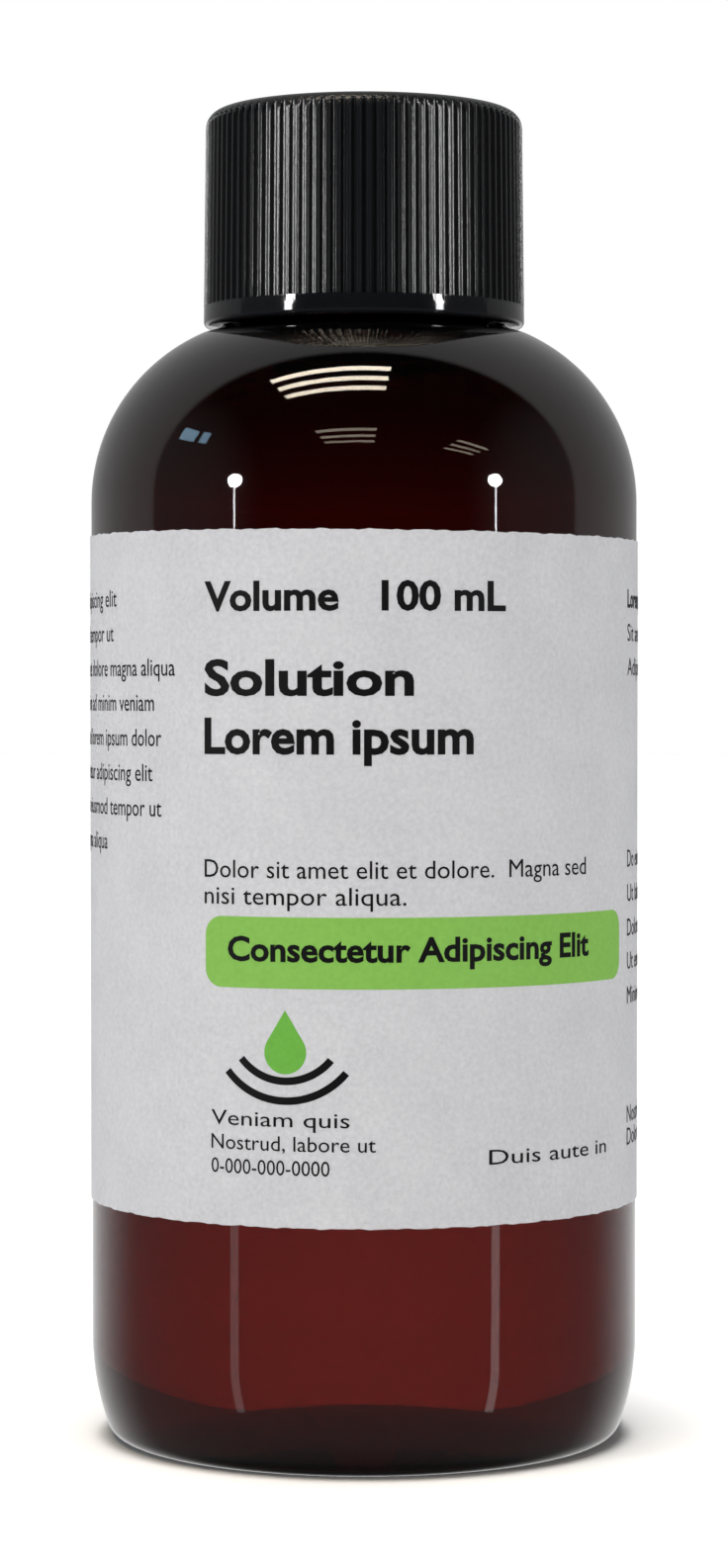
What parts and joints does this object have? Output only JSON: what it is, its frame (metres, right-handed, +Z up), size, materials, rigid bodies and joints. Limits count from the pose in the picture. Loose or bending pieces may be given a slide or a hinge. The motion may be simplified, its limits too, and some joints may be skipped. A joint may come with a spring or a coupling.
{
  "type": "round screw-cap solution bottle",
  "caption": "Round amber plastic bottle with a ribbed screw cap, foam cap liner, wrap-round paper label and its fill of clear solution.",
  "frame": {"origin": "centre of the standing ring, on the surface that the bottle stands on", "axes": "+Z up along the bottle's axis towards the cap; the middle of the label's front faces -Y, and the label's open seam is at +Y"},
  "size_m": [0.0468, 0.0467, 0.1131],
  "materials": {
    "amber_pet": "gloss",
    "label_paper": "matte",
    "clear_solution": "gloss",
    "liner_foam": "matte",
    "black_polypropylene": "satin"
  },
  "bodies": {
    "bottle": {"bottle": "amber_pet", "label": "label_paper", "solution": "clear_solution"},
    "liner": {"cap_liner": "liner_foam"},
    "cap": {"cap": "black_polypropylene"}
  },
  "joints": [
    {"name": "cap_lift", "type": "slide", "parent": "bottle", "child": "liner", "axis": [0, 0, 1], "range_m": [0, 0.0254]},
    {"name": "cap_turn", "type": "hinge", "parent": "liner", "child": "cap", "pos_m": [0, 0, 0.1], "axis": [0, 0, 1], "range_deg": [0, 2880]}
  ],
  "couplings": [
    {"joint": "cap_lift", "follows": "cap_turn", "m_per_rad": 0.00050531}
  ]
}
